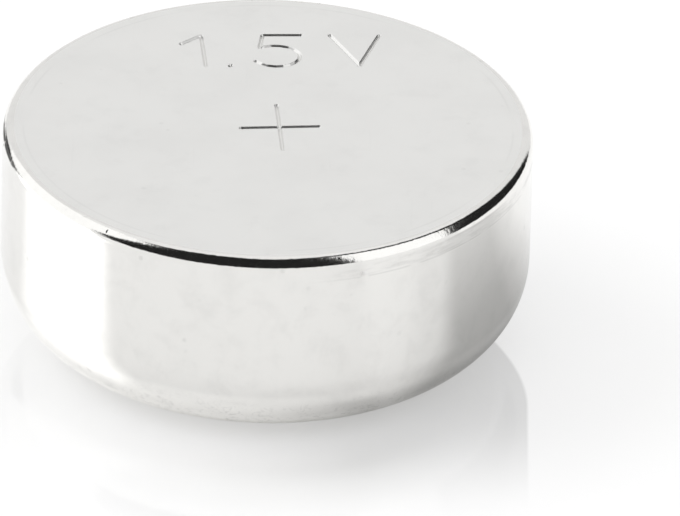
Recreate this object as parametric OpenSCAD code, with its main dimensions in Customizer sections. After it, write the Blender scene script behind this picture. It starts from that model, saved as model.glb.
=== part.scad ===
// Alkaline button cell, 11.6 mm class, standing on its negative cap.
// The axis of the cell is Z. The negative terminal face lies at z = 0 and the positive
// terminal face at z = cell_h. Every piece is a revolved section, so each section below is
// drawn in the half plane x = radius, y = height. Sizes are in millimetres.

/* [Positive can] */
// Outside diameter of the can
can_d = 11.6; // [10.5:0.05:12.6]
// Height over both terminal faces
cell_h = 5.1; // [5:0.05:6]
// Thickness of the nickel plated steel sheet
can_t = 0.2; // [0.15:0.01:0.22]
// Outside radius of the drawn edge round the positive face
can_edge_r = 0.25; // [0.25:0.01:0.6]
// Outside radius of the wall where it is rolled in over the seal
roll_r = 1.8; // [1.6:0.05:2.1]
// Height of the roll's lowest tangent above the negative face
rim_rise = 0.25; // [0.1:0.01:0.4]
// Radial space between the can's cut edge and the wall of the terminal
rim_gap = 0.3; // [0.2:0.01:0.4]

/* [Negative cap] */
// Thickness of the clad sheet of the cap
cap_t = 0.2; // [0.15:0.01:0.25]
// Radial width of the step between the terminal's wall and the skirt
cap_step_w = 0.8; // [0.7:0.01:1]
// Outside radius round the negative face
cap_edge_r = 0.35; // [0.26:0.01:0.5]
// Outside radius of the hollow bend at the root of the terminal
cap_neck_r = 0.15; // [0.1:0.01:0.2]
// Outside radius of the shoulder that the seal presses on
cap_shoulder_r = 0.45; // [0.3:0.01:0.5]
// Slit left between the two layers of the folded skirt
fold_gap = 0.04; // [0.02:0.01:0.08]

/* [Sealing gasket] */
// Thickness of the gasket's wall between the can and the skirt
seal_t = 0.35; // [0.25:0.01:0.4]
// How much thinner the crimp squeezes the gasket than its wall
seal_squeeze = 0.06; // [0.03:0.01:0.1]
// Thickness of the foot under the folded skirt
seal_foot_t = 0.35; // [0.25:0.01:0.45]
// Thickness of the hook inside the skirt
seal_hook_t = 0.35; // [0.25:0.01:0.45]
// Height of the hook above the foot
seal_hook_h = 0.55; // [0.3:0.01:0.7]
// Depth of the visible lip below the outside of the rolled can
lip_recess = 0.12; // [0.08:0.01:0.2]

/* [Fillings] */
// Thickness of the pressed cathode pellet
pellet_t = 1.6; // [1.4:0.05:1.8]
// Extra size of the pellet's chamfer over the can's inner corner radius
pellet_relief = 0.05; // [0.02:0.01:0.1]
// Thickness of the barrier film
film_t = 0.1; // [0.05:0.01:0.2]
// Thickness of the absorbent pad
pad_t = 0.25; // [0.15:0.01:0.35]
// Radial clearance between pieces that nest in each other
fit_gap = 0.01; // [0.005:0.005:0.03]

/* [Hidden] */
$fn = 96;

nickel = [0.80, 0.80, 0.78];
nickel_cap = [0.76, 0.76, 0.73];
nylon = [0.88, 0.87, 0.80];
manganese_black = [0.10, 0.10, 0.10];
film_clear = [0.82, 0.85, 0.78];
fibre_white = [0.93, 0.93, 0.90];
zinc_grey = [0.52, 0.54, 0.56];

// Can: the roll is a quarter turn round one centre, cut short of the terminal's wall
can_r = can_d / 2;
bore_r = can_r - can_t;
roll_x = can_r - roll_r;
roll_z = rim_rise + roll_r;

// Stack that hangs from the can's closed end
pellet_z1 = cell_h - can_t;
pellet_z0 = pellet_z1 - pellet_t;
film_z0 = pellet_z0 - film_t;
foot_z0 = film_z0 - seal_foot_t;
pad_z0 = film_z0 - pad_t;

// Folded skirt of the cap, inside the gasket's wall
skirt_r = bore_r - seal_t;
fold_r = cap_t + fold_gap / 2;
fold_x = skirt_r - fold_r;
fold_z = foot_z0 - fold_r;
inner_layer_r = skirt_r - cap_t - fold_gap;

// The crimp leaves this much gasket between the rolled can and the cap, both at the cut
// edge of the skirt and at the shoulder. It sets how low each of them reaches.
crimp_t = seal_t - seal_squeeze;
crimp_r = roll_r - can_t - crimp_t;
skirt_edge_z = roll_z - sqrt(pow(crimp_r, 2) - pow(skirt_r - roll_x, 2));
shoulder_x = inner_layer_r - cap_shoulder_r;
shoulder_z = roll_z - sqrt(pow(crimp_r - cap_shoulder_r, 2) - pow(shoulder_x - roll_x, 2));
step_z = shoulder_z - cap_shoulder_r;

// Terminal of the cap, and the angle at which the rolled sheet stops short of it
terminal_r = inner_layer_r - cap_step_w;
roll_turn = acos((terminal_r + rim_gap - roll_x) / (roll_r - can_t));

// Hook of the gasket, inside the skirt
hook_r = inner_layer_r - cap_t - seal_hook_t;
hook_z0 = foot_z0 - seal_hook_h;

// Area from the axis out to radius r, between two heights
module zone(r, z0, z1) {
    translate([0, z0]) square([r, z1 - z0]);
}

// The same area with its upper outer corner rounded by edge_r
module zone_round_top(r, z0, z1, edge_r) {
    zone(r - edge_r, z0, z1);
    zone(r, z0, z1 - edge_r);
    translate([r - edge_r, z1 - edge_r]) circle(edge_r);
}

// The same area with its lower outer corner rounded by edge_r
module zone_round_foot(r, z0, z1, edge_r) {
    zone(r - edge_r, z0, z1);
    zone(r, z0 + edge_r, z1);
    translate([r - edge_r, z0 + edge_r]) circle(edge_r);
}

// Filled outline of the can, moved inwards by inset, as if the roll ran on to the axis
module can_form(inset) {
    zone_round_top(can_r - inset, roll_z, cell_h - inset, can_edge_r - inset);
    zone(roll_x, roll_z - roll_r + inset, cell_h - can_edge_r);
    translate([roll_x, roll_z]) circle(roll_r - inset);
}

// Wedge between the cut edge of the rolled sheet and the axis, set back from that edge by gap
module rim_mouth(gap) {
    reach = 2 * roll_r;
    translate([-gap * sin(roll_turn), -gap * cos(roll_turn)]) polygon([
        [roll_x, roll_z],
        [roll_x + reach * cos(roll_turn), roll_z - reach * sin(roll_turn)],
        [0, roll_z - reach],
        [0, roll_z]
    ]);
}

// Filled outline of the cap below height top, moved inwards by inset
module cap_form(inset, top) {
    bend_r = cap_neck_r + inset;
    zone_round_foot(terminal_r - inset, inset, top, cap_edge_r - inset);
    zone_round_foot(inner_layer_r - inset, step_z + inset, top, cap_shoulder_r - inset);
    // Hollow bend at the root of the terminal
    difference() {
        zone(terminal_r + cap_neck_r, step_z - cap_neck_r, step_z + cap_t + inset);
        translate([terminal_r + cap_neck_r, step_z - cap_neck_r]) circle(bend_r);
    }
}

// Outline of the folded skirt with its slit closed: both layers and their fold, down to
// the cut edge of the outer layer, grown by grow on every side
module skirt_form(grow) {
    outer_r = fold_r + grow;
    edge_z = skirt_edge_z - grow;
    translate([fold_x, fold_z]) circle(outer_r);
    translate([fold_x - outer_r, edge_z]) square([2 * outer_r, fold_z - edge_z]);
}

// Slit between the two layers of the skirt, round at the fold and open below the cut edge
module skirt_slit() {
    translate([fold_x, fold_z]) circle(fold_gap / 2);
    translate([inner_layer_r, shoulder_z]) square([fold_gap, fold_z - shoulder_z]);
}

module can_section() {
    difference() {
        can_form(0);
        can_form(can_t);
        rim_mouth(0);
    }
}

module cap_section() {
    difference() {
        union() {
            cap_form(0, fold_z);
            skirt_form(0);
        }
        cap_form(cap_t, foot_z0);
        skirt_slit();
    }
}

module gasket_section() {
    difference() {
        union() {
            // Lining of the can, down to the film
            intersection() {
                can_form(can_t + fit_gap);
                zone(can_r, 0, film_z0);
            }
            // Lip that shows between the can's cut edge and the terminal
            intersection() {
                translate([roll_x, roll_z]) circle(roll_r - lip_recess);
                rim_mouth(fit_gap);
            }
        }
        cap_form(-fit_gap, hook_z0);
        skirt_form(fit_gap);
        zone(hook_r, shoulder_z, pellet_z0);
    }
}

module anode_section() {
    difference() {
        cap_form(cap_t + fit_gap, pad_z0);
        translate([hook_r - fit_gap, hook_z0 - fit_gap]) square([can_r, cell_h]);
    }
}

// Drawn cup whose open rim is rolled in over the gasket
module positive_can() {
    color(nickel) rotate_extrude() can_section();
}

// Pressed disc of manganese dioxide and graphite in the closed end of the can
module cathode_pellet() {
    chamfer = can_edge_r - can_t + pellet_relief;
    pellet_r = bore_r - fit_gap;
    color(manganese_black) rotate_extrude() polygon([
        [0, pellet_z0],
        [pellet_r, pellet_z0],
        [pellet_r, pellet_z1 - chamfer],
        [pellet_r - chamfer, pellet_z1],
        [0, pellet_z1]
    ]);
}

// Film that the gasket's foot clamps on the pellet
module barrier_film() {
    color(film_clear) translate([0, 0, film_z0]) cylinder(h = film_t, r = bore_r - fit_gap);
}

// Fibre disc that lies inside the gasket's foot
module absorbent_pad() {
    color(fibre_white) translate([0, 0, pad_z0]) cylinder(h = pad_t, r = hook_r - fit_gap);
}

// Zinc gel that fills the cap up to the pad
module zinc_anode() {
    color(zinc_grey) rotate_extrude() anode_section();
}

// Moulded ring with a J section that holds the skirt and lines the can
module sealing_gasket() {
    color(nylon) rotate_extrude() gasket_section();
}

// Stepped cap with its skirt folded back on itself
module negative_cap() {
    color(nickel_cap) rotate_extrude() cap_section();
}

positive_can();
cathode_pellet();
barrier_film();
absorbent_pad();
zinc_anode();
sealing_gasket();
negative_cap();
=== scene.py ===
"""Alkaline button cell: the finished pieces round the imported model."""

import math

import bpy
import numpy as np
from bpy.props import FloatProperty, FloatVectorProperty, IntProperty, PointerProperty
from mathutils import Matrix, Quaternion, Vector
from mathutils.geometry import delaunay_2d_cdt


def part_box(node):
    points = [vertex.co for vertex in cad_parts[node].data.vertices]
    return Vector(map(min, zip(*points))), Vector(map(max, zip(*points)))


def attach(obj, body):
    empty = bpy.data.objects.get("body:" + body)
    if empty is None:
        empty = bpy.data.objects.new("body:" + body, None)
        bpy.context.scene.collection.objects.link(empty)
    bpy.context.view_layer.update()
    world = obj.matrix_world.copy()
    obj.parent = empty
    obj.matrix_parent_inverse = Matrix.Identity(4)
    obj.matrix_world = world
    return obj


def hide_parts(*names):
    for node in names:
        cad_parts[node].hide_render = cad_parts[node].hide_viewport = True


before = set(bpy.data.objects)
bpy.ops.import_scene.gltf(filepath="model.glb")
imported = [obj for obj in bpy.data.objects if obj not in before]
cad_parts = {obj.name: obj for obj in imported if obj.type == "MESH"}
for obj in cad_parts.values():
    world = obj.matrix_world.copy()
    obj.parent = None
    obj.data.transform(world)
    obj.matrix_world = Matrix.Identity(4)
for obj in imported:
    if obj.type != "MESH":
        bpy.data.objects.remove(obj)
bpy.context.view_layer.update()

bl_info = {
    "name": "Alkaline Button Cell",
    "version": (1, 0, 0),
    "blender": (4, 5, 0),
    "location": "View3D > Sidebar > Button Cell",
    "description": "Builds a round alkaline cell and the studio it stands in",
    "category": "Object",
}

CAN_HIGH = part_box("positive_can")[1]
ROOT = "root"
WHITE = (1.0, 1.0, 1.0, 1.0)
MM = 0.001
TO_DEGREES = 180 / math.pi

# points of a section that lie closer than this are one, and so near the axis they lie on it
SAME_POINT = 1e-7

# the picture, and where the point that the camera aims at lands in it, in pixels
IMAGE_WIDTH, IMAGE_HEIGHT = 680, 516
TARGET_RIGHT, TARGET_DOWN = 265.14, 222.7


# ---- user values ----


def length(name, description, default_mm):
    """A length that the user may change, given in millimetres and kept in metres."""
    kind = {"unit": "LENGTH", "subtype": "DISTANCE", "min": 0.0, "precision": 6}
    return FloatProperty(name=name, description=description, default=default_mm * MM, **kind)


def colour(name, description, default):
    """A linear colour that the user may change."""
    return FloatVectorProperty(
        name=name, description=description, default=default, min=0.0, max=1.0, subtype="COLOR"
    )


def level(name, description, default):
    """A plain number without a unit."""
    return FloatProperty(name=name, description=description, default=default, min=0.0, max=10.0)


def angle(name, description, default_degrees):
    """An angle, given in degrees and kept in radians."""
    kind = {"unit": "ROTATION", "subtype": "ANGLE", "default": math.radians(default_degrees)}
    return FloatProperty(name=name, description=description, **kind)


class CellSizes(bpy.types.PropertyGroup):
    """Sizes of the metal and moulded pieces."""

    can_radius: length("Can radius", "Outside radius of the can", CAN_HIGH.x / MM)
    cell_height: length("Cell height", "Height over both terminals", CAN_HIGH.z / MM)
    can_sheet: length("Can sheet", "Thickness of the can", 0.2)
    can_edge: length("Can edge", "Outside radius of the drawn edge", 0.25)
    roll: length("Roll", "Outside radius of the rolled rim", 1.8)
    rim_rise: length("Rim rise", "Lowest tangent of the roll above the negative face", 0.25)
    rim_gap: length("Rim gap", "Gap between the cut edge and the terminal's wall", 0.3)
    cap_sheet: length("Cap sheet", "Thickness of the cap", 0.2)
    cap_step: length("Cap step", "Width of the step round the terminal", 0.8)
    cap_edge: length("Cap edge", "Radius round the negative face", 0.35)
    cap_neck: length("Cap neck", "Radius of the hollow bend", 0.15)
    cap_shoulder: length("Cap shoulder", "Radius of the shoulder", 0.45)
    fold_gap: length("Fold gap", "Slit inside the folded skirt", 0.04)
    seal_wall: length("Seal wall", "Thickness of the gasket's wall", 0.35)
    seal_squeeze: length("Seal squeeze", "How much thinner the crimp presses the gasket", 0.06)
    seal_foot: length("Seal foot", "Thickness of the gasket's foot", 0.35)
    seal_hook: length("Seal hook", "Thickness of the gasket's hook", 0.35)
    hook_height: length("Hook height", "Height of the hook above the foot", 0.55)
    lip_recess: length("Lip recess", "Depth of the lip below the rolled can", 0.12)
    pellet_height: length("Pellet height", "Thickness of the pressed pellet", 1.6)
    film_height: length("Film height", "Thickness of the barrier film", 0.1)
    fit: length("Fit", "Clearance between nested pieces", 0.01)
    groove_half: length("Groove half width", "Half the width of an engraved stroke", 0.06)
    groove_depth: length("Groove depth", "Depth of an engraved stroke", 0.05)
    segments: IntProperty(
        name="Segments", description="Facets round the cell", default=320, min=48, max=720
    )


class CellColours(bpy.types.PropertyGroup):
    """Linear colours of the finishes."""

    nickel: colour("Nickel", "Plating of the can", (0.84, 0.832, 0.81))
    face_nickel: colour("Face nickel", "Plating of the can's flat face", (0.855, 0.852, 0.835))
    cap_nickel: colour("Cap nickel", "Cladding of the cap", (0.80, 0.785, 0.75))
    nylon: colour("Nylon", "Moulded gasket", (0.78, 0.75, 0.64))
    cathode: colour("Cathode mix", "Pressed black powder", (0.018, 0.018, 0.019))
    film: colour("Film", "Cellulose film", (0.66, 0.69, 0.6))
    fibre: colour("Fibre", "Absorbent fibre", (0.84, 0.83, 0.79))
    zinc: colour("Zinc gel", "Grey zinc gel", (0.23, 0.245, 0.26))
    floor: colour("Floor", "Table under the cell", (0.93, 0.93, 0.93))


class StudioLevels(bpy.types.PropertyGroup):
    """Light levels and the camera."""

    sky: level("Sky", "Even light from all round", 0.9)
    backdrop: level("Backdrop", "Brightness that metal shows behind the cell", 0.888)
    dark_side: level("Dark side", "Brightness of the unlit side of the room", 0.012)
    softbox: level("Softbox", "Brightness that metal shows where a softbox stands", 1.22)
    key: level("Key", "Radiance of the large softbox on the left", 1.9)
    fill: level("Fill", "Radiance of the small softbox on the right", 1.27)
    lens: FloatProperty(
        name="Lens", description="Focal length of the camera in millimetres", default=724.49
    )
    distance: length("Camera distance", "From the lens to the middle of the cell", 300.0)
    elevation: angle("Camera elevation", "Height of the camera above the table", 30.379)
    tilt: angle("Camera tilt", "Turn of the camera round its own axis", 1.333)


# ---- sections ----


class Section:
    """Outline of a revolved piece, drawn in the half plane of radius and height, in metres."""

    def __init__(self, radius, height, kind=0):
        self.points = [(radius, height)]
        self.kind, self.kinds = kind, []

    def line(self, radius, height, steps=1):
        """A straight stretch to a point, in equal steps."""
        r0, z0 = self.points[-1]
        for i in range(1, steps + 1):
            self._add(r0 + (radius - r0) * i / steps, z0 + (height - z0) * i / steps)

    def arc(self, centre, radius, start, stop, steps):
        """An arc round a centre, from one angle to another, in degrees from the radial line."""
        for i in range(steps + 1):
            a = math.radians(start + (stop - start) * i / steps)
            r, z = centre[0] + radius * math.cos(a), centre[1] + radius * math.sin(a)
            if i or math.dist((r, z), self.points[-1]) > SAME_POINT:
                self._add(r, z)

    def _add(self, r, z):
        self.points.append((max(r, 0.0), z))
        self.kinds.append(self.kind)


def revolve(section, segments, closed):
    """Vertices, faces, the kind of each face and the rings of a section turned round Z."""
    points = list(section.points)
    if closed:
        # a closed outline ends where it starts
        points.pop()
    turns = [2 * math.pi * i / segments for i in range(segments)]
    verts, rings = [], []
    for r, z in points:
        if r < SAME_POINT:
            rings.append([len(verts)])
            verts.append((0.0, 0.0, z))
        else:
            rings.append(list(range(len(verts), len(verts) + segments)))
            verts.extend((r * math.cos(t), r * math.sin(t), z) for t in turns)
    faces, face_kinds = [], []
    count = len(points)
    # the doubled area that the outline runs round, above 0 where it runs clockwise
    area = sum((b[0] - a[0]) * (b[1] + a[1]) for a, b in zip(points, points[1:] + points[:1]))
    for k, kind in enumerate(section.kinds):
        a, b = rings[k], rings[(k + 1) % count]
        for i in range(segments):
            j = (i + 1) % segments
            if len(a) == 1:
                face = (a[0], b[i], b[j])
            elif len(b) == 1:
                face = (a[i], b[0], a[j])
            else:
                face = (a[i], b[i], b[j], a[j])
            faces.append(face if area > 0 else face[::-1])
            face_kinds.append(kind)
    return verts, faces, face_kinds, rings


def add_object(name, data):
    """A new object in the scene."""
    made = bpy.data.objects.new(name, data)
    bpy.context.scene.collection.objects.link(made)
    return made


def add_piece(name, verts, faces, kinds, finishes, smooth_angle=40.0):
    """A mesh object of the cell, with smooth shading and one finish for each kind of face."""
    mesh = bpy.data.meshes.new(name)
    mesh.from_pydata(verts, [], faces)
    for finish in finishes:
        mesh.materials.append(finish)
    mesh.polygons.foreach_set("material_index", kinds)
    mesh.polygons.foreach_set("use_smooth", [True] * len(faces))
    mesh.validate()
    mesh.set_sharp_from_angle(angle=math.radians(smooth_angle))
    mesh.update()
    piece = add_object(name, mesh)
    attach(piece, ROOT)
    return piece


class Layout:
    """Places that several pieces share, worked out from the sizes."""

    def __init__(self, s):
        self.bore = s.can_radius - s.can_sheet
        self.roll_centre = (s.can_radius - s.roll, s.rim_rise + s.roll)
        self.pellet_low = s.cell_height - s.can_sheet - s.pellet_height
        self.film_low = self.pellet_low - s.film_height
        self.foot_low = self.film_low - s.seal_foot
        self.skirt = self.bore - s.seal_wall
        self.fold = s.cap_sheet + s.fold_gap / 2
        self.fold_centre = (self.skirt - self.fold, self.foot_low - self.fold)
        self.layer = self.skirt - s.cap_sheet - s.fold_gap
        # the skirt's end and the shoulder both touch this radius round the roll's centre
        crimp = s.roll - s.can_sheet - (s.seal_wall - s.seal_squeeze)
        roll_r, roll_z = self.roll_centre
        self.skirt_end = roll_z - math.sqrt(crimp**2 - (self.skirt - roll_r) ** 2)
        shoulder_r = self.layer - s.cap_shoulder
        shoulder_z = roll_z - math.sqrt((crimp - s.cap_shoulder) ** 2 - (shoulder_r - roll_r) ** 2)
        self.shoulder = (shoulder_r, shoulder_z)
        self.step = self.shoulder[1] - s.cap_shoulder
        self.terminal = self.layer - s.cap_step
        self.neck_centre = (self.terminal + s.cap_neck, self.step - s.cap_neck)
        self.roll_turn = math.degrees(
            math.acos((self.terminal + s.rim_gap - roll_r) / (s.roll - s.can_sheet))
        )
        self.hook = self.layer - s.cap_sheet - s.seal_hook
        self.hook_low = self.foot_low - s.hook_height


# ---- shader maths ----


def opaque(rgb):
    """A colour with full alpha."""
    return (*rgb, 1.0)


def both_ways(operation):
    """An operator's two forms: with the signal on the left, and reflected."""

    def forward(self, other):
        return self.book.maths(operation, self, other)

    def reflected(self, other):
        return self.book.maths(operation, other, self)

    return forward, reflected


class Signal:
    """A socket in a node tree; arithmetic on it adds Math nodes."""

    def __init__(self, book, socket):
        self.book, self.socket = book, socket

    __add__, __radd__ = both_ways("ADD")
    __sub__, __rsub__ = both_ways("SUBTRACT")
    __mul__, __rmul__ = both_ways("MULTIPLY")
    __truediv__, __rtruediv__ = both_ways("DIVIDE")

    def __neg__(self):
        return self * -1.0

    def __abs__(self):
        return self.call("ABSOLUTE")

    def least(self, other):
        return self.call("MINIMUM", other)

    def most(self, other):
        return self.call("MAXIMUM", other)

    def call(self, operation, *others):
        """Any other operation of the Math node."""
        return self.book.maths(operation, self, *others)

    def ramp(self, low, high):
        """0 below low, 1 above high and a soft step between; high may be the smaller."""
        return self.book.out(
            "ShaderNodeMapRange",
            {"interpolation_type": "SMOOTHSTEP"},
            {0: self, 1: low, 2: high, 3: 0.0, 4: 1.0},
        )

    def window(self, low, high, soft):
        """1 between low and high, with soft ends."""
        half = soft / 2
        return self.ramp(low - half, low + half) * self.ramp(high + half, high - half)


class NodeBook:
    """Adds nodes to one tree."""

    def __init__(self, tree):
        self.tree = tree
        self.tree.nodes.clear()

    def add(self, kind, settings=None, inputs=None):
        """A node of a type, with its settings made first and then its sockets."""
        node = self.tree.nodes.new(kind)
        for key, value in (settings or {}).items():
            setattr(node, key, value)
        for key, value in (inputs or {}).items():
            socket = node.inputs[key]
            if isinstance(value, Signal):
                self.tree.links.new(value.socket, socket)
            elif isinstance(value, bpy.types.NodeSocket):
                self.tree.links.new(value, socket)
            else:
                socket.default_value = value
        return node

    def out(self, kind, settings=None, inputs=None, output=0):
        """One output of a new node, ready for arithmetic."""
        return Signal(self, self.add(kind, settings, inputs).outputs[output])

    def maths(self, operation, *terms):
        """A Math node on its terms."""
        return self.out("ShaderNodeMath", {"operation": operation}, dict(enumerate(terms)))

    def mix(self, factor, a, b, blend="MIX"):
        """Two colours mixed by a factor."""
        settings = {"data_type": "RGBA", "blend_type": blend}
        return self.out("ShaderNodeMix", settings, {0: factor, 6: a, 7: b}, 2)

    def place(self):
        """Position on the piece, in metres, as a vector."""
        return self.out("ShaderNodeTexCoord", output="Object")

    def axes(self, vector):
        """The three parts of a vector."""
        node = self.add("ShaderNodeSeparateXYZ", inputs={0: vector})
        return [Signal(self, socket) for socket in node.outputs]

    def along(self, vector, direction):
        """How far a vector reaches along a direction, times the direction's length."""
        settings = {"operation": "DOT_PRODUCT"}
        return self.out("ShaderNodeVectorMath", settings, {0: vector, 1: direction}, "Value")

    def rays(self):
        """1 for what the camera sees by itself, and 1 for what it sees mirrored in metal."""
        path = self.add("ShaderNodeLightPath").outputs
        return Signal(self, path["Is Camera Ray"]), Signal(self, path["Is Glossy Ray"])

    def stretch(self, vector, scale, rotation=(0.0, 0.0, 0.0)):
        """A vector scaled and turned."""
        inputs = {"Vector": vector, "Scale": scale, "Rotation": rotation}
        return self.out("ShaderNodeMapping", inputs=inputs)

    def noise(self, vector, scale, detail=2.0, rough=0.5, warp=0.0):
        """Cloudy noise between 0 and 1."""
        inputs = {"Vector": vector, "Scale": scale, "Detail": detail}
        inputs |= {"Roughness": rough, "Distortion": warp}
        return self.out("ShaderNodeTexNoise", inputs=inputs)

    def cells(self, vector, scale):
        """Distance to the nearest of scattered points."""
        return self.out("ShaderNodeTexVoronoi", inputs={"Vector": vector, "Scale": scale})

    def mix_shaders(self, factor, first, second):
        """Two shader nodes mixed by a factor."""
        shaders = {0: factor, 1: first.outputs[0], 2: second.outputs[0]}
        return self.add("ShaderNodeMixShader", inputs=shaders)

    def shade(self, rgb, amount):
        """A colour made darker by a varying amount."""
        grey = self.out("ShaderNodeCombineColor", inputs={0: amount, 1: amount, 2: amount})
        return self.mix(1.0, opaque(rgb), grey, "MULTIPLY")

    def relief(self, height, depth):
        """A normal from a height field whose full height is depth metres."""
        return self.out(
            "ShaderNodeBump", inputs={"Strength": 1.0, "Distance": depth, "Height": height}
        )


def finish_material(name, paint, preview):
    """A material whose Principled sockets come from paint(book)."""
    material = bpy.data.materials.new(name)
    material.use_nodes = True
    material.diffuse_color = opaque(preview)
    book = NodeBook(material.node_tree)
    shader = book.add("ShaderNodeBsdfPrincipled", inputs=paint(book))
    book.add("ShaderNodeOutputMaterial", inputs={"Surface": shader.outputs[0]})
    return material


# ---- finishes ----

# where marks stand on the can, in millimetres: radii on the face, heights on the wall
FACE_LINE = (5.33, 5.37)
WORN_STRIP = (4.56, 4.83)
WORN_LINE = (4.52, 4.55)
EDGE_STARTS = (4.8, 4.88)
CRACKLE_FADES = (1.7, 0.9)


def nickel_face(colours):
    """Satin plating of the flat face, with faint clouds, hairlines and a line inside the rim."""

    def paint(book):
        spot = book.place()
        x, y, _ = book.axes(spot)
        radius = (x * x + y * y).call("SQRT") / MM
        clouds = book.noise(spot, 620.0, 3.0, 0.55)
        blots = book.noise(spot, 1500.0, 4.0, 0.62).ramp(0.52, 0.72)
        grain = book.noise(spot, 16000.0, 2.0, 0.6)
        brushed = book.stretch(spot, (9000.0, 320.0, 9000.0), (0, 0, 0.5))
        hairline = book.noise(brushed, 1.0, 2.0).ramp(0.66, 0.74)
        specks = book.cells(spot, 1500.0).ramp(0.1, 0.05) * book.noise(spot, 700.0).ramp(0.52, 0.6)
        patch = book.noise(spot, 420.0, 2.0).ramp(0.42, 0.6)
        line = radius.window(*FACE_LINE, 0.05) * patch
        tone = 1.0 - 0.03 * clouds.ramp(0.35, 0.75) - 0.022 * blots - 0.012 * hairline
        tone = tone - 0.05 * specks - 0.05 * line
        height = grain * 0.5 + clouds * 3.0 - hairline * 0.3 - specks * 0.6 - line * 0.5
        return {
            "Base Color": book.shade(colours.face_nickel, tone),
            "Metallic": 1.0,
            "Roughness": 0.27 + 0.05 * clouds + 0.03 * grain,
            "Normal": book.relief(height, 0.0000006),
        }

    return finish_material("nickel_face_satin", paint, colours.face_nickel)


def nickel_wall(colours):
    """Bright plating of the drawn wall, edge and roll, with handling marks."""

    def paint(book):
        spot = book.place()
        x, y, z = book.axes(spot)
        high = z / MM
        mottle = book.noise(spot, 1900.0, 4.0, 0.6, 0.3)
        ripple = book.noise(spot, 700.0, 2.0, 0.5)
        drawn = book.noise(book.stretch(spot, (2600.0, 2600.0, 420.0)), 1.0, 3.0)
        flecks = book.cells(spot, 2100.0).ramp(0.16, 0.08)
        flecks = flecks * book.noise(spot, 900.0).ramp(0.5, 0.62)
        # crackled plating low on the roll
        crackle = book.noise(spot, 5200.0, 4.0, 0.7, 1.2).ramp(0.54, 0.62)
        crackle = crackle * high.ramp(*CRACKLE_FADES)
        # a burnished strip and a fine line under the edge, on the right
        side = x.ramp(0.6 * MM, 2.6 * MM) * y.ramp(2.5 * MM, 0.0)
        streaks = book.noise(book.stretch(spot, (1500.0, 1500.0, 9000.0)), 1.0, 3.0, 0.6)
        strip = high.window(*WORN_STRIP, 0.06) * side * streaks.ramp(0.42, 0.66)
        line = high.window(*WORN_LINE, 0.03) * side * drawn.ramp(0.3, 0.45)
        # nicks and waves of the edge
        edge = high.ramp(*EDGE_STARTS)
        wave = book.noise(spot, 4200.0, 3.0, 0.6)
        nicks = book.cells(spot, 2600.0).ramp(0.2, 0.1) * book.noise(spot, 1100.0).ramp(0.55, 0.6)
        nicks = nicks * edge
        tone = 1.0 - 0.06 * mottle.ramp(0.42, 0.78) - 0.025 * drawn - 0.1 * flecks
        tone = tone - 0.15 * crackle - 0.1 * strip - 0.12 * line
        height = ripple * 2.2 + mottle * 0.8 - flecks * 0.8 - crackle * 0.9 - line * 1.2
        height = height - strip * 0.6 + edge * wave * 4.5 - nicks * 7.0
        return {
            "Base Color": book.shade(colours.nickel, tone),
            "Metallic": 1.0,
            "Roughness": 0.09 + 0.07 * mottle + 0.1 * flecks + 0.12 * strip + 0.08 * crackle,
            "Normal": book.relief(height, 0.0000012),
        }

    return finish_material("nickel_wall_bright", paint, colours.nickel)


def nickel_groove(colours):
    """Rougher plating where the engraving tool has run."""

    def paint(book):
        grain = book.noise(book.place(), 24000.0, 2.0, 0.6)
        return {
            "Base Color": book.shade(colours.face_nickel, 1.0 - 0.05 * grain),
            "Metallic": 1.0,
            "Roughness": 0.28 + 0.1 * grain,
            "Normal": book.relief(grain, 0.000001),
        }

    return finish_material("nickel_groove_rough", paint, colours.nickel)


def nickel_inside(colours):
    """Plain dull plating inside the can."""

    def paint(book):
        spot = book.place()
        clouds = book.noise(spot, 900.0, 3.0)
        return {
            "Base Color": book.shade(colours.nickel, 0.9 - 0.1 * clouds),
            "Metallic": 1.0,
            "Roughness": 0.35 + 0.15 * clouds,
        }

    return finish_material("nickel_inside_dull", paint, colours.nickel)


def cap_plating(colours):
    """Bright cladding of the negative terminal, with turned rings and contact marks."""

    def paint(book):
        spot = book.place()
        x, y, _ = book.axes(spot)
        radius = (x * x + y * y).call("SQRT")
        outward = book.out("ShaderNodeCombineXYZ", inputs={0: radius * 14000.0, 1: 0.3, 2: 0.7})
        rings = book.noise(outward, 1.0, 3.0)
        clouds = book.noise(spot, 800.0, 3.0, 0.6)
        brushed = book.stretch(spot, (7000.0, 300.0, 7000.0), (0, 0, -0.7))
        scuff = book.noise(brushed, 1.0, 2.0).ramp(0.64, 0.72)
        tone = 1.0 - 0.05 * clouds - 0.04 * scuff
        return {
            "Base Color": book.shade(colours.cap_nickel, tone),
            "Metallic": 1.0,
            "Roughness": 0.16 + 0.06 * clouds + 0.1 * scuff,
            "Normal": book.relief(rings * 0.5 + clouds * 1.5 - scuff * 0.5, 0.0000008),
        }

    return finish_material("cap_nickel_bright", paint, colours.cap_nickel)


def moulded_nylon(colours):
    """Milky nylon of the gasket."""

    def paint(book):
        spot = book.place()
        clouds = book.noise(spot, 1200.0, 3.0)
        grain = book.noise(spot, 9000.0, 2.0)
        return {
            "Base Color": book.shade(colours.nylon, 1.0 - 0.12 * clouds),
            "Roughness": 0.38 + 0.12 * grain,
            "IOR": 1.53,
            "Normal": book.relief(grain + clouds, 0.000002),
        }

    return finish_material("nylon_milky", paint, colours.nylon)


def grainy(name, rgb, scale, depth, roughness, contrast):
    """Powder, gel, film or fibre: a tinted grain of one size."""

    def paint(book):
        spot = book.place()
        lumps = book.cells(spot, scale)
        clouds = book.noise(spot, scale * 0.2, 4.0, 0.65)
        return {
            "Base Color": book.shade(rgb, 1.0 - contrast * lumps - contrast * clouds),
            "Roughness": roughness + 0.1 * clouds,
            "Normal": book.relief(clouds - lumps, depth),
        }

    return finish_material(name, paint, rgb)


# ---- engraved marks ----


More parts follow.
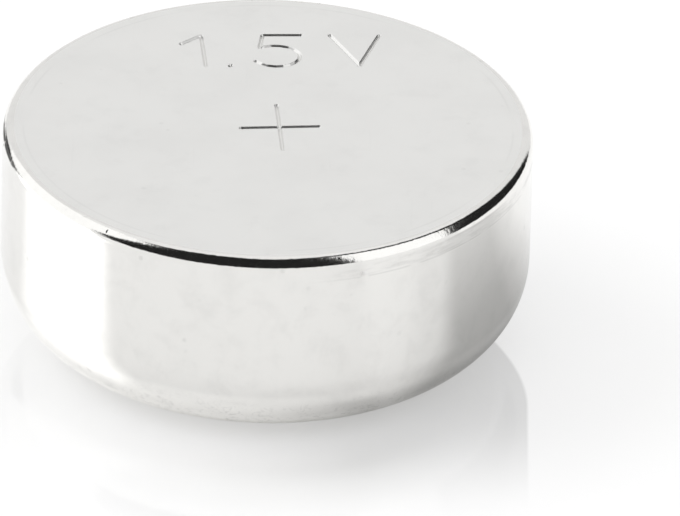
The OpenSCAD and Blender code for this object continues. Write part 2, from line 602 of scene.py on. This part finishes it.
class EngravedMarks:
    """Strokes engraved in the positive face: a plus sign and the voltage, in millimetres."""

    # a step along a stroke, and the share of it that any two points keep apart
    STEP = 0.022
    CLOSEST = 0.3
    # rows of points beside a stroke's middle line, and points of a half turn round its end
    ROWS = (0.0, 0.18, 0.36, 0.54, 0.72, 0.88, 1.0, 1.25)
    FAN = 7
    # the pit where the tool goes in, against the stroke's half width and depth
    PIT_WIDTH, PIT_DEPTH = 1.15, 1.1

    def __init__(self, half_width, depth):
        self.half, self.depth = half_width / MM, depth / MM
        self.strokes = [self._fine(points) for points in self._drawn()]
        self.pits = [stroke[0] for stroke in self.strokes]

    @staticmethod
    def _bowl(centre, rx, ry, start, stop, count=14):
        angles = [math.radians(start + (stop - start) * i / count) for i in range(count + 1)]
        return [(centre[0] + rx * math.cos(a), centre[1] + ry * math.sin(a)) for a in angles]

    def _drawn(self):
        """Corner points of each stroke, as the engraving tool runs."""
        plus = [
            [(-0.581, -0.099), (1.112, 0.05)],
            [(0.174, 0.917), (0.329, -0.998)],
        ]
        one = [[(-1.95, 3.55), (-1.53, 3.93), (-1.4, 2.6)]]
        point = [[(-0.86, 2.62), (-0.84, 2.65)]]
        five = [
            [(0.67, 4.06), (-0.17, 4.02), (-0.23, 3.45)]
            + self._bowl((0.14, 3.1), 0.53, 0.46, 120, -148)
        ]
        vee = [[(1.32, 4.07), (1.98, 2.77)], [(1.98, 2.77), (2.4, 4.12)]]
        return plus + one + point + five + vee

    def _fine(self, points):
        """The stroke in short equal steps."""
        out = [np.array(points[0])]
        for a, b in zip(points, points[1:]):
            a, b = np.array(a), np.array(b)
            count = max(1, round(float(np.linalg.norm(b - a)) / self.STEP))
            out.extend(a + (b - a) * i / count for i in range(1, count + 1))
        return np.array(out)

    def distance(self, places):
        """Distance of each place to the nearest stroke."""
        best = np.full(len(places), np.inf)
        for stroke in self.strokes:
            a, b = stroke[:-1], stroke[1:]
            span = b - a
            size = (span**2).sum(1)
            offset = places[:, None, :] - a[None]
            t = np.clip((offset * span[None]).sum(2) / size[None], 0, 1)
            gap = offset - t[:, :, None] * span[None]
            best = np.minimum(best, np.sqrt((gap**2).sum(2)).min(1))
        return best

    def sink(self, places):
        """Depth of the engraving at each place."""
        share = np.clip(self.distance(places) / self.half, 0, 1)
        depth = self.depth * np.cos(share * math.pi / 2) ** 2
        for pit in self.pits:
            away = np.linalg.norm(places - pit, axis=1)
            reach = np.clip(away / (self.half * self.PIT_WIDTH), 0, 1)
            pit_depth = self.depth * self.PIT_DEPTH * np.cos(reach * math.pi / 2) ** 2
            depth = np.maximum(depth, pit_depth)
        return depth

    def points(self):
        """Rows of points along each stroke and fans round its ends."""
        found = []
        for row in self.ROWS:
            reach = row * self.half
            for stroke in self.strokes:
                along = np.gradient(stroke, axis=0)
                along /= np.linalg.norm(along, axis=1)[:, None]
                across = np.stack([-along[:, 1], along[:, 0]], 1)
                sides = (1,) if row == 0 else (1, -1)
                for side in sides:
                    found.extend(stroke + side * reach * across)
                if row:
                    for end, heading in ((stroke[0], -along[0]), (stroke[-1], along[-1])):
                        base = math.atan2(heading[1], heading[0])
                        fan = max(3, round(row * self.FAN))
                        for i in range(fan + 1):
                            a = base - math.pi / 2 + math.pi * i / fan
                            found.append(end + reach * np.array([math.cos(a), math.sin(a)]))
        return thin_out(np.array(found), self.STEP * self.CLOSEST)


def thin_out(points, gap):
    """The points without those that lie too close to an earlier one."""
    kept, grid = [], {}
    for p in points:
        cell = (math.floor(p[0] / gap), math.floor(p[1] / gap))
        near = (
            q
            for dx in (-1, 0, 1)
            for dy in (-1, 0, 1)
            for q in grid.get((cell[0] + dx, cell[1] + dy), ())
        )
        if all((p[0] - q[0]) ** 2 + (p[1] - q[1]) ** 2 >= gap * gap for q in near):
            grid.setdefault(cell, []).append(p)
            kept.append(p)
    return np.array(kept)


# the plain points of the flat face, in millimetres: between their rings, along a ring, inside
# the rim, and clear of a stroke's middle line in half widths
RING_GAP, POINT_GAP, RIM_GAP, STROKE_GAP = 0.36, 0.4, 0.2, 2.2


def engraved_face(rim, height, marks):
    """Vertices and triangles of the flat face inside a rim, sunk where a stroke runs."""
    rim_mm = np.array(rim)[:, :2] / MM
    radius = float(np.linalg.norm(rim_mm[0]))
    cut = marks.points()
    plain = []
    for ring in np.arange(0.0, radius - RIM_GAP, RING_GAP):
        count = max(1, round(2 * math.pi * ring / POINT_GAP))
        for i in range(count):
            a = 2 * math.pi * (i + 0.5) / count
            plain.append((ring * math.cos(a), ring * math.sin(a)))
    plain = np.array(plain)
    plain = plain[marks.distance(plain) > marks.half * STROKE_GAP]
    places = np.concatenate([rim_mm, cut, plain])
    edges = [(i, (i + 1) % len(rim_mm)) for i in range(len(rim_mm))]
    convex_hull, closest = 0, 1e-6
    flat, _, triangles, *_ = delaunay_2d_cdt(
        [Vector((p[0], p[1])) for p in places], edges, [], convex_hull, closest, False
    )
    if len(flat) != len(places):
        raise RuntimeError("the engraved face lost or gained points")
    depth = marks.sink(places)
    depth[: len(rim_mm)] = 0
    verts = [(p[0] * MM, p[1] * MM, height - d * MM) for p, d in zip(places, depth)]
    return verts, triangles


# ---- operators ----


class BUTTONCELL_OT_can(bpy.types.Operator):
    """Make the drawn can with its engraved face and rolled rim"""

    bl_idname = "buttoncell.can"
    bl_label = "Positive can"

    FINISHES = (nickel_face, nickel_wall, nickel_inside, nickel_groove)
    FACE, WALL, INSIDE, GROOVE = range(4)
    # radius of the two blunt corners of the cut edge
    NOSE = 0.03 * MM
    # share of the engraved depth below which a facet belongs to the groove
    SUNK = 0.1

    def section(self, s, place):
        """From the rim of the flat face over the outside, round the cut edge and up inside."""
        edge_centre = (s.can_radius - s.can_edge, s.cell_height - s.can_edge)
        turn_down = -place.roll_turn
        nose = self.NOSE
        lap = math.degrees(nose / s.roll)
        inner = s.can_edge - s.can_sheet
        heading = turn_down - 90
        path = Section(edge_centre[0], s.cell_height, self.WALL)
        path.arc(edge_centre, s.can_edge, 90, 0, steps=22)
        path.line(s.can_radius, place.roll_centre[1], steps=10)
        path.arc(place.roll_centre, s.roll, 0, turn_down + lap, steps=40)
        for radius, start in ((s.roll - nose, turn_down), (s.roll - s.can_sheet + nose, heading)):
            back = math.radians(turn_down) + nose / radius
            corner = (
                place.roll_centre[0] + radius * math.cos(back),
                place.roll_centre[1] + radius * math.sin(back),
            )
            path.arc(corner, nose, start, start - 90, steps=4)
        path.kind = self.INSIDE
        path.arc(place.roll_centre, s.roll - s.can_sheet, turn_down + lap, 0, steps=30)
        path.line(place.bore, edge_centre[1], steps=2)
        path.arc(edge_centre, inner, 0, 90, steps=6)
        path.line(0.0, s.cell_height - s.can_sheet)
        return path

    def execute(self, context):
        s, colours = context.scene.cell_sizes, context.scene.cell_colours
        place = Layout(s)
        verts, faces, kinds, rings = revolve(self.section(s, place), s.segments, False)
        rim = [verts[i] for i in rings[0]]
        marks = EngravedMarks(s.groove_half, s.groove_depth)
        face_verts, triangles = engraved_face(rim, s.cell_height, marks)
        start, rim_count = len(verts), len(rim)
        verts += face_verts[rim_count:]
        groove_top = s.cell_height - self.SUNK * s.groove_depth
        for t in triangles:
            faces.append([rings[0][i] if i < rim_count else start + i - rim_count for i in t])
            sunk = min(verts[i][2] for i in faces[-1]) < groove_top
            kinds.append(self.GROOVE if sunk else self.FACE)
        finishes = [make(colours) for make in self.FINISHES]
        can = add_piece("can_shell", verts, faces, kinds, finishes, smooth_angle=50.0)
        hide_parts("positive_can")
        return {"FINISHED"}


class BUTTONCELL_OT_cap(bpy.types.Operator):
    """Make the stepped negative cap with its folded skirt"""

    bl_idname = "buttoncell.cap"
    bl_label = "Negative cap"

    def section(self, s, place):
        """From the terminal's face up the outside, over the fold and back down inside."""
        edge = (place.terminal - s.cap_edge, s.cap_edge)
        layer_in = place.layer - s.cap_sheet
        path = Section(0.0, 0.0)
        path.line(edge[0], 0.0, steps=6)
        path.arc(edge, s.cap_edge, -90, 0, steps=16)
        path.line(place.terminal, place.neck_centre[1], steps=3)
        path.arc(place.neck_centre, s.cap_neck, 180, 90, steps=8)
        path.line(place.shoulder[0], place.step, steps=2)
        path.arc(place.shoulder, s.cap_shoulder, -90, 0, steps=12)
        path.line(place.layer, place.fold_centre[1], steps=2)
        path.arc(place.fold_centre, s.fold_gap / 2, 180, 0, steps=6)
        path.line(place.fold_centre[0] + s.fold_gap / 2, place.skirt_end, steps=2)
        path.line(place.skirt, place.skirt_end, steps=2)
        path.line(place.skirt, place.fold_centre[1], steps=2)
        path.arc(place.fold_centre, place.fold, 0, 180, steps=16)
        path.line(layer_in, place.shoulder[1], steps=2)
        path.arc(place.shoulder, s.cap_shoulder - s.cap_sheet, 0, -90, steps=8)
        path.line(place.neck_centre[0], place.step + s.cap_sheet)
        path.arc(place.neck_centre, s.cap_neck + s.cap_sheet, 90, 180, steps=10)
        path.line(place.terminal - s.cap_sheet, s.cap_edge, steps=2)
        path.arc(edge, s.cap_edge - s.cap_sheet, 0, -90, steps=8)
        path.line(0.0, s.cap_sheet, steps=3)
        return path

    def execute(self, context):
        s, colours = context.scene.cell_sizes, context.scene.cell_colours
        verts, faces, kinds, _ = revolve(self.section(s, Layout(s)), s.segments, False)
        cap = add_piece("cap_shell", verts, faces, kinds, [cap_plating(colours)])
        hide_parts("negative_cap")
        return {"FINISHED"}


class BUTTONCELL_OT_gasket(bpy.types.Operator):
    """Make the moulded ring that the rolled rim presses on the cap"""

    bl_idname = "buttoncell.gasket"
    bl_label = "Sealing gasket"

    def section(self, s, place):
        """Down the lining, out to the lip at the cut edge and back up along the cap."""
        roll_r, roll_z = place.roll_centre
        outer = s.roll - s.can_sheet - s.fit
        lip = s.roll - s.lip_recess
        bend = s.cap_neck - s.fit
        # the lip stays one clearance away from the cut edge
        inner_turn = -place.roll_turn - math.degrees(math.asin(s.fit / outer))
        lip_turn = -place.roll_turn - math.degrees(math.asin(s.fit / lip))
        wall = place.terminal + s.fit
        lip_stop = -math.degrees(math.acos((wall - roll_r) / lip))
        layer = place.layer + s.fit
        skirt_low = place.skirt_end - s.fit
        fold = place.fold + s.fit
        path = Section(outer + roll_r, place.film_low)
        path.line(outer + roll_r, roll_z, steps=2)
        path.arc(place.roll_centre, outer, 0, inner_turn, steps=30)
        path.arc(place.roll_centre, lip, lip_turn, lip_stop, steps=12)
        path.line(wall, place.neck_centre[1], steps=2)
        path.arc(place.neck_centre, bend, 180, 90, steps=6)
        path.line(place.shoulder[0], place.step - s.fit, steps=2)
        path.arc(place.shoulder, s.cap_shoulder + s.fit, -90, 0, steps=10)
        path.line(layer, skirt_low)
        path.line(place.skirt + s.fit, skirt_low)
        path.line(place.skirt + s.fit, place.fold_centre[1], steps=2)
        path.arc(place.fold_centre, fold, 0, 180, steps=14)
        path.line(place.fold_centre[0] - fold, place.hook_low)
        path.line(place.hook, place.hook_low)
        path.line(place.hook, place.film_low, steps=2)
        path.line(outer + roll_r, place.film_low, steps=2)
        return path

    def execute(self, context):
        s, colours = context.scene.cell_sizes, context.scene.cell_colours
        verts, faces, kinds, _ = revolve(self.section(s, Layout(s)), s.segments, True)
        ring = add_piece("seal_ring", verts, faces, kinds, [moulded_nylon(colours)])
        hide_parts("sealing_gasket")
        return {"FINISHED"}


class BUTTONCELL_OT_fillings(bpy.types.Operator):
    """Give the sealed-in pellet, film, pad and gel their finishes"""

    bl_idname = "buttoncell.fillings"
    bl_label = "Fillings"

    def execute(self, context):
        c = context.scene.cell_colours
        powder = dict(scale=9000.0, depth=1e-5, roughness=0.75, contrast=0.3)
        film = dict(scale=2500.0, depth=1e-6, roughness=0.35, contrast=0.05)
        felt = dict(scale=14000.0, depth=2e-5, roughness=0.85, contrast=0.12)
        gel = dict(scale=11000.0, depth=2e-5, roughness=0.4, contrast=0.35)
        finishes = {
            "cathode_pellet": grainy("cathode_pressed_powder", c.cathode, **powder),
            "barrier_film": grainy("film_cellulose", c.film, **film),
            "absorbent_pad": grainy("fibre_felt", c.fibre, **felt),
            "zinc_anode": grainy("zinc_gel_grains", c.zinc, **gel),
        }
        for node, finish in finishes.items():
            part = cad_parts[node]
            part.data.materials.clear()
            part.data.materials.append(finish)
        return {"FINISHED"}


class BUTTONCELL_OT_studio(bpy.types.Operator):
    """Set up the table, the soft lights, the room and the camera"""

    bl_idname = "buttoncell.studio"
    bl_label = "Studio"

    # the table's radius, that of the clear spot under the terminal, and the table's sides
    FLOOR_REACH = 0.6
    HOLE = 4.0 * MM
    FLOOR_SIDES = 128
    # azimuths of the wall, in degrees, that look at the borders of the painted shade and the
    # painted glows on the table by the cell
    RIGHT_SHADE = 43.5
    PALE_GLOW = (22.5, 34.0)
    LEFT_GLOW = (-37.6, -63.0)
    # azimuths of the wall that show the two borders of the upright strip in the room
    STRIP = (20.0, 43.3)
    # the middles of two round areas of the room, each over the cosine of how far it reaches;
    # the softbox on the left is what they share
    ROUND_BOX = (-1.052, 0.25, 0.613)
    FLAT_SIDE = (-1.052, 0.579, 0.643)
    # height of the point that the camera aims at, width of its film in mm, and its range
    AIM_HEIGHT = 2.7 * MM
    FILM_WIDTH = 36.0
    NEAREST, FARTHEST = 0.01, 5.0

    def make_floor(self, c):
        """A pale polished table with a clear spot under the terminal, where nothing shows."""
        section = Section(self.FLOOR_REACH, 0.0)
        section.line(self.HOLE, 0.0)
        verts, faces, _, _ = revolve(section, self.FLOOR_SIDES, False)
        mesh = bpy.data.meshes.new("studio_floor")
        mesh.from_pydata(verts, [], faces)
        floor = add_object("studio_floor", mesh)
        mesh.materials.append(self.floor_material(c.floor))

    def floor_material(self, rgb):
        """Paper white with a painted soft shadow for the camera; metal sees painted shade and
        painted glow beside the cell.
        """
        material = bpy.data.materials.new("floor_polished")
        material.use_nodes = True
        book = NodeBook(material.node_tree)
        x, y = (part / MM for part in book.axes(book.place())[:2])
        radius = (x * x + y * y).call("SQRT")
        bearing = x.call("ARCTAN2", -y) * TO_DEGREES
        seen, mirrored = book.rays()
        # painted reflection: the metal sees the table greyer, with painted shadow and shade
        tone = 1.0 - mirrored * (1.0 - self.tone_in_metal(x, y, radius, bearing))
        shadow = 1.0 - seen * self.soft_shadow(x, y)
        painted = book.shade(rgb, tone * shadow)
        diffuse = book.add("ShaderNodeBsdfDiffuse", inputs={0: painted})
        # painted glow on the table, seen only in the metal
        strength = mirrored * self.glow_in_metal(x, y, radius, bearing)
        glow = book.add("ShaderNodeEmission", inputs={0: WHITE, 1: strength})
        lit = book.add("ShaderNodeAddShader", inputs={0: diffuse.outputs[0], 1: glow.outputs[0]})
        paper = book.add("ShaderNodeEmission", inputs={0: WHITE, 1: shadow})
        pale = book.mix_shaders(seen * 0.5, lit, paper)
        gloss = book.add("ShaderNodeBsdfGlossy", inputs={0: WHITE, "Roughness": 0.03})
        table = book.mix_shaders(seen * self.shine(x, radius), pale, gloss)
        below = Signal(book, book.add("ShaderNodeNewGeometry").outputs["Backfacing"])
        top = book.mix_shaders(below, table, book.add("ShaderNodeBsdfTransparent"))
        book.add("ShaderNodeOutputMaterial", inputs={"Surface": top.outputs[0]})
        return material

    def tone_in_metal(self, x, y, radius, bearing):
        """How pale the metal sees the table, against its own colour: a painted reflection, greyer
        than the table, with painted shadow and shade.
        """
        grey = 0.87
        # painted shadow of the cell on the right, as the metal sees it, paler outwards and to the
        # back
        shade_tone = (0.54 + 0.05 * (radius - 9.0).most(0.0) + 0.1 * y.most(0.0)).least(1.0)
        beside = self.mirror_line(x, y, self.RIGHT_SHADE).ramp(-0.9, 0.9) * x.ramp(0.0, 4.0)
        tone = grey + beside * (shade_tone - grey)
        # painted dark reflection of the room's corner, on the table far behind the left side
        corner = bearing.window(-142.0, -118.0, 3.0) * radius.ramp(15.5, 19.0)
        # painted shade under the rolled rim, right of the front
        dim = self.under_rim(radius) * bearing.window(21.0, 33.0, 10.0)
        return tone * (1.0 - 0.96 * corner) * (1.0 - 0.2 * dim)

    def glow_in_metal(self, x, y, radius, bearing):
        """Painted glow: light that the table seems to send into the metal."""
        # painted glow: bright patches on the table by the cell, left and right of the front, seen
        # only in the metal
        near, far = (self.mirror_line(x, y, azimuth) for azimuth in self.LEFT_GLOW)
        left_glow = near.ramp(0.9, -0.7) * far.ramp(-1.1, 1.0) * radius.ramp(5.3, 6.6)
        left_end = far.ramp(0.6, -0.6) * x.ramp(0.0, -4.0)
        start, stop = (self.mirror_line(x, y, azimuth) for azimuth in self.PALE_GLOW)
        pale_glow = start.ramp(-0.8, 0.8) * stop.ramp(0.8, -0.8)
        painted_glows = 0.6 * left_glow + 0.1 * left_end + 0.055 * pale_glow
        # painted glow in rings under the rolled rim, brighter in front and on the left
        outer = radius.window(6.0, 6.75, 0.6) * (0.1 - 0.06 * bearing.ramp(10.0, 24.0))
        middle = 0.15 * self.under_rim(radius) * bearing.ramp(20.0, -4.0)
        inner = 0.08 * radius.window(4.2, 5.1, 0.5)
        return painted_glows + outer + middle + inner

    @staticmethod
    def under_rim(radius):
        """The ring of the table that the rolled rim shows beneath itself."""
        return radius.window(4.3, 6.0, 0.6)

    @staticmethod
    def shine(x, radius):
        """Polish of the table round the cell, weaker on the left and nearly gone on the right."""
        polish = radius.ramp(4.9, 6.2) * (0.05 + 0.2 * radius.ramp(9.5, 5.8))
        return polish * (0.35 + 0.65 * x.ramp(-4.5, 0.0)) * (1.0 - 0.85 * x.ramp(2.0, 4.5))

    @staticmethod
    def soft_shadow(x, y):
        """Shadow in front of the cell, as wide as the cell and rounded at its far corners."""
        bend = (0.37 * y + 1.185).most(0.0)
        inside = (abs(x) + 0.67 * bend * bend).ramp(5.85, 5.75) * y.ramp(1.0, -0.3)
        right = 0.225 * x.ramp(-1.6, 2.4) * y.ramp(-7.8, -3.0)
        left = 0.02 * x.ramp(1.0, -1.0) * y.ramp(-10.5, -4.0)
        return inside * (right + left)

    @staticmethod
    def mirror_line(x, y, azimuth):
        """Signed distance, in millimetres, from the line that the wall at azimuth looks along."""
        a = math.radians(azimuth)
        wall = CAN_HIGH.x / MM
        foot = (wall * math.sin(a), -wall * math.cos(a))
        ahead = (math.sin(2 * a), -math.cos(2 * a))
        return (x - foot[0]) * -ahead[1] + (y - foot[1]) * ahead[0]

    def softbox(self, name, azimuth, elevation, distance, size, radiance):
        """A rectangular soft light that faces the cell; azimuth 0 is the camera's side."""
        lamp = bpy.data.lights.new(name, "AREA")
        lamp.shape = "RECTANGLE"
        lamp.size, lamp.size_y = size
        lamp.energy = radiance * math.pi * math.prod(size)
        a, e = math.radians(azimuth), math.radians(elevation)
        out = Vector((math.sin(a) * math.cos(e), -math.cos(a) * math.cos(e), math.sin(e)))
        box = add_object(name, lamp)
        box.location = out * distance
        box.rotation_mode = "QUATERNION"
        box.rotation_quaternion = out.to_track_quat("Z", "Y")
        box.visible_camera = box.visible_glossy = False

    @staticmethod
    def past(x, y, azimuth, levels):
        """Above 0 for the directions that the round metal shows past an azimuth of its own."""
        a = math.radians(azimuth)
        return x * math.cos(a) + (y - math.cos(levels.elevation)) * math.sin(a)

    def make_room(self, levels):
        """An even sky; polished metal also sees the dark side of the room."""
        world = bpy.data.worlds.new("studio_room")
        bpy.context.scene.world = world
        world.use_nodes = True
        book = NodeBook(world.node_tree)
        way = book.out("ShaderNodeTexCoord", output="Generated")
        x, y, z = book.axes(way)
        azimuth = x.call("ARCTAN2", -y) * TO_DEGREES
        height = z.call("ARCSINE") * TO_DEGREES
        slant = y - 0.6 * x.most(0.0)
        # dark: the room in front, overhead and on the right, and a corner behind the left side
        overhead = slant.ramp(0.16, 0.12).most(x.ramp(0.43, 0.47))
        sides = azimuth.window(-157.0, 142.0, 3.0) * overhead
        from_corner = (azimuth + 137.0) / 11.0
        behind = (10.0 * from_corner * from_corner + height).ramp(13.0, 9.5)
        dark = sides.most(behind) * height.ramp(-2.0, 0.0) * x.ramp(-0.96, -0.9).most(behind)
        # bright: a round softbox with a flat side on the left and an upright strip on the right
        round_box = book.along(way, self.ROUND_BOX).ramp(0.99, 1.01)
        flat_side = book.along(way, self.FLAT_SIDE).ramp(0.997, 1.013)
        round_box = round_box * flat_side.most(x.ramp(-0.93, -0.95))
        start, stop = (self.past(x, y, border, levels) for border in self.STRIP)
        strip = (start + 0.08 * z).ramp(-0.01, 0.01) * stop.ramp(0.004, -0.004)
        strip = strip * slant.ramp(-0.1, -0.14) * height.ramp(-6.0, -1.0)
        backdrop = levels.backdrop + 0.1 * z.ramp(0.68, 0.8)
        shown = backdrop + dark * (levels.dark_side - backdrop)
        shown = shown + round_box.most(strip) * (levels.softbox - shown)
        seen, mirrored = book.rays()
        light = levels.sky + mirrored * (shown - levels.sky)
        value = light + seen * (1.0 - light)
        lamp = book.add("ShaderNodeBackground", inputs={0: WHITE, 1: value})
        book.add("ShaderNodeOutputWorld", inputs={0: lamp.outputs[0]})

    def make_camera(self, levels):
        """A long lens that looks down on the cell, with the cell left of the middle."""
        data = bpy.data.cameras.new("studio_camera")
        data.sensor_width = self.FILM_WIDTH
        data.lens = levels.lens
        data.clip_start, data.clip_end = self.NEAREST, self.FARTHEST
        camera = add_object("studio_camera", data)
        out = Vector((0.0, -math.cos(levels.elevation), math.sin(levels.elevation)))
        camera.location = Vector((0.0, 0.0, self.AIM_HEIGHT)) + out * levels.distance
        focal = levels.lens / data.sensor_width * IMAGE_WIDTH
        right, down = TARGET_RIGHT - IMAGE_WIDTH / 2, TARGET_DOWN - IMAGE_HEIGHT / 2
        camera.rotation_mode = "QUATERNION"
        camera.rotation_quaternion = (
            out.to_track_quat("Z", "Y")
            @ Quaternion((0, 1, 0), math.atan(right / focal))
            @ Quaternion((1, 0, 0), math.atan(down / focal))
            @ Quaternion((0, 0, 1), levels.tilt)
        )
        bpy.context.scene.camera = camera

    def execute(self, context):
        scene = context.scene
        levels = scene.studio_levels
        self.make_camera(levels)
        self.make_floor(scene.cell_colours)
        key = dict(azimuth=-101.0, elevation=27.0, distance=0.25, size=(0.25, 0.3))
        fill = dict(azimuth=62.5, elevation=25.0, distance=0.3, size=(0.25, 0.26))
        self.softbox("softbox_key", radiance=levels.key, **key)
        self.softbox("softbox_fill", radiance=levels.fill, **fill)
        self.make_room(levels)
        scene.view_settings.view_transform = "Standard"
        return {"FINISHED"}


class BUTTONCELL_PT_sidebar(bpy.types.Panel):
    """The cell's pieces in the sidebar"""

    bl_idname = "BUTTONCELL_PT_sidebar"
    bl_label = "Button Cell"
    bl_space_type = "VIEW_3D"
    bl_region_type = "UI"
    bl_category = "Button Cell"

    def draw(self, context):
        for operator in OPERATORS:
            self.layout.operator(operator.bl_idname)
        for name in PROPERTY_SETS:
            box = self.layout.box()
            values = getattr(context.scene, name)
            for key in values.bl_rna.properties.keys():
                if key not in ("rna_type", "name"):
                    box.prop(values, key)


# ---- registering ----

OPERATORS = (
    BUTTONCELL_OT_studio,
    BUTTONCELL_OT_can,
    BUTTONCELL_OT_cap,
    BUTTONCELL_OT_gasket,
    BUTTONCELL_OT_fillings,
)
PROPERTY_SETS = {
    "cell_sizes": CellSizes,
    "cell_colours": CellColours,
    "studio_levels": StudioLevels,
}
CLASSES = (*PROPERTY_SETS.values(), *OPERATORS, BUTTONCELL_PT_sidebar)


def register():
    for cls in CLASSES:
        bpy.utils.register_class(cls)
    for name, cls in PROPERTY_SETS.items():
        setattr(bpy.types.Scene, name, PointerProperty(type=cls))


def unregister():
    for name in PROPERTY_SETS:
        delattr(bpy.types.Scene, name)
    for cls in reversed(CLASSES):
        bpy.utils.unregister_class(cls)


def main():
    """Builds everything."""
    register()
    bpy.ops.buttoncell.studio()
    bpy.ops.buttoncell.can()
    bpy.ops.buttoncell.cap()
    bpy.ops.buttoncell.gasket()
    bpy.ops.buttoncell.fillings()
    bpy.context.view_layer.update()


if __name__ == "__main__":
    main()
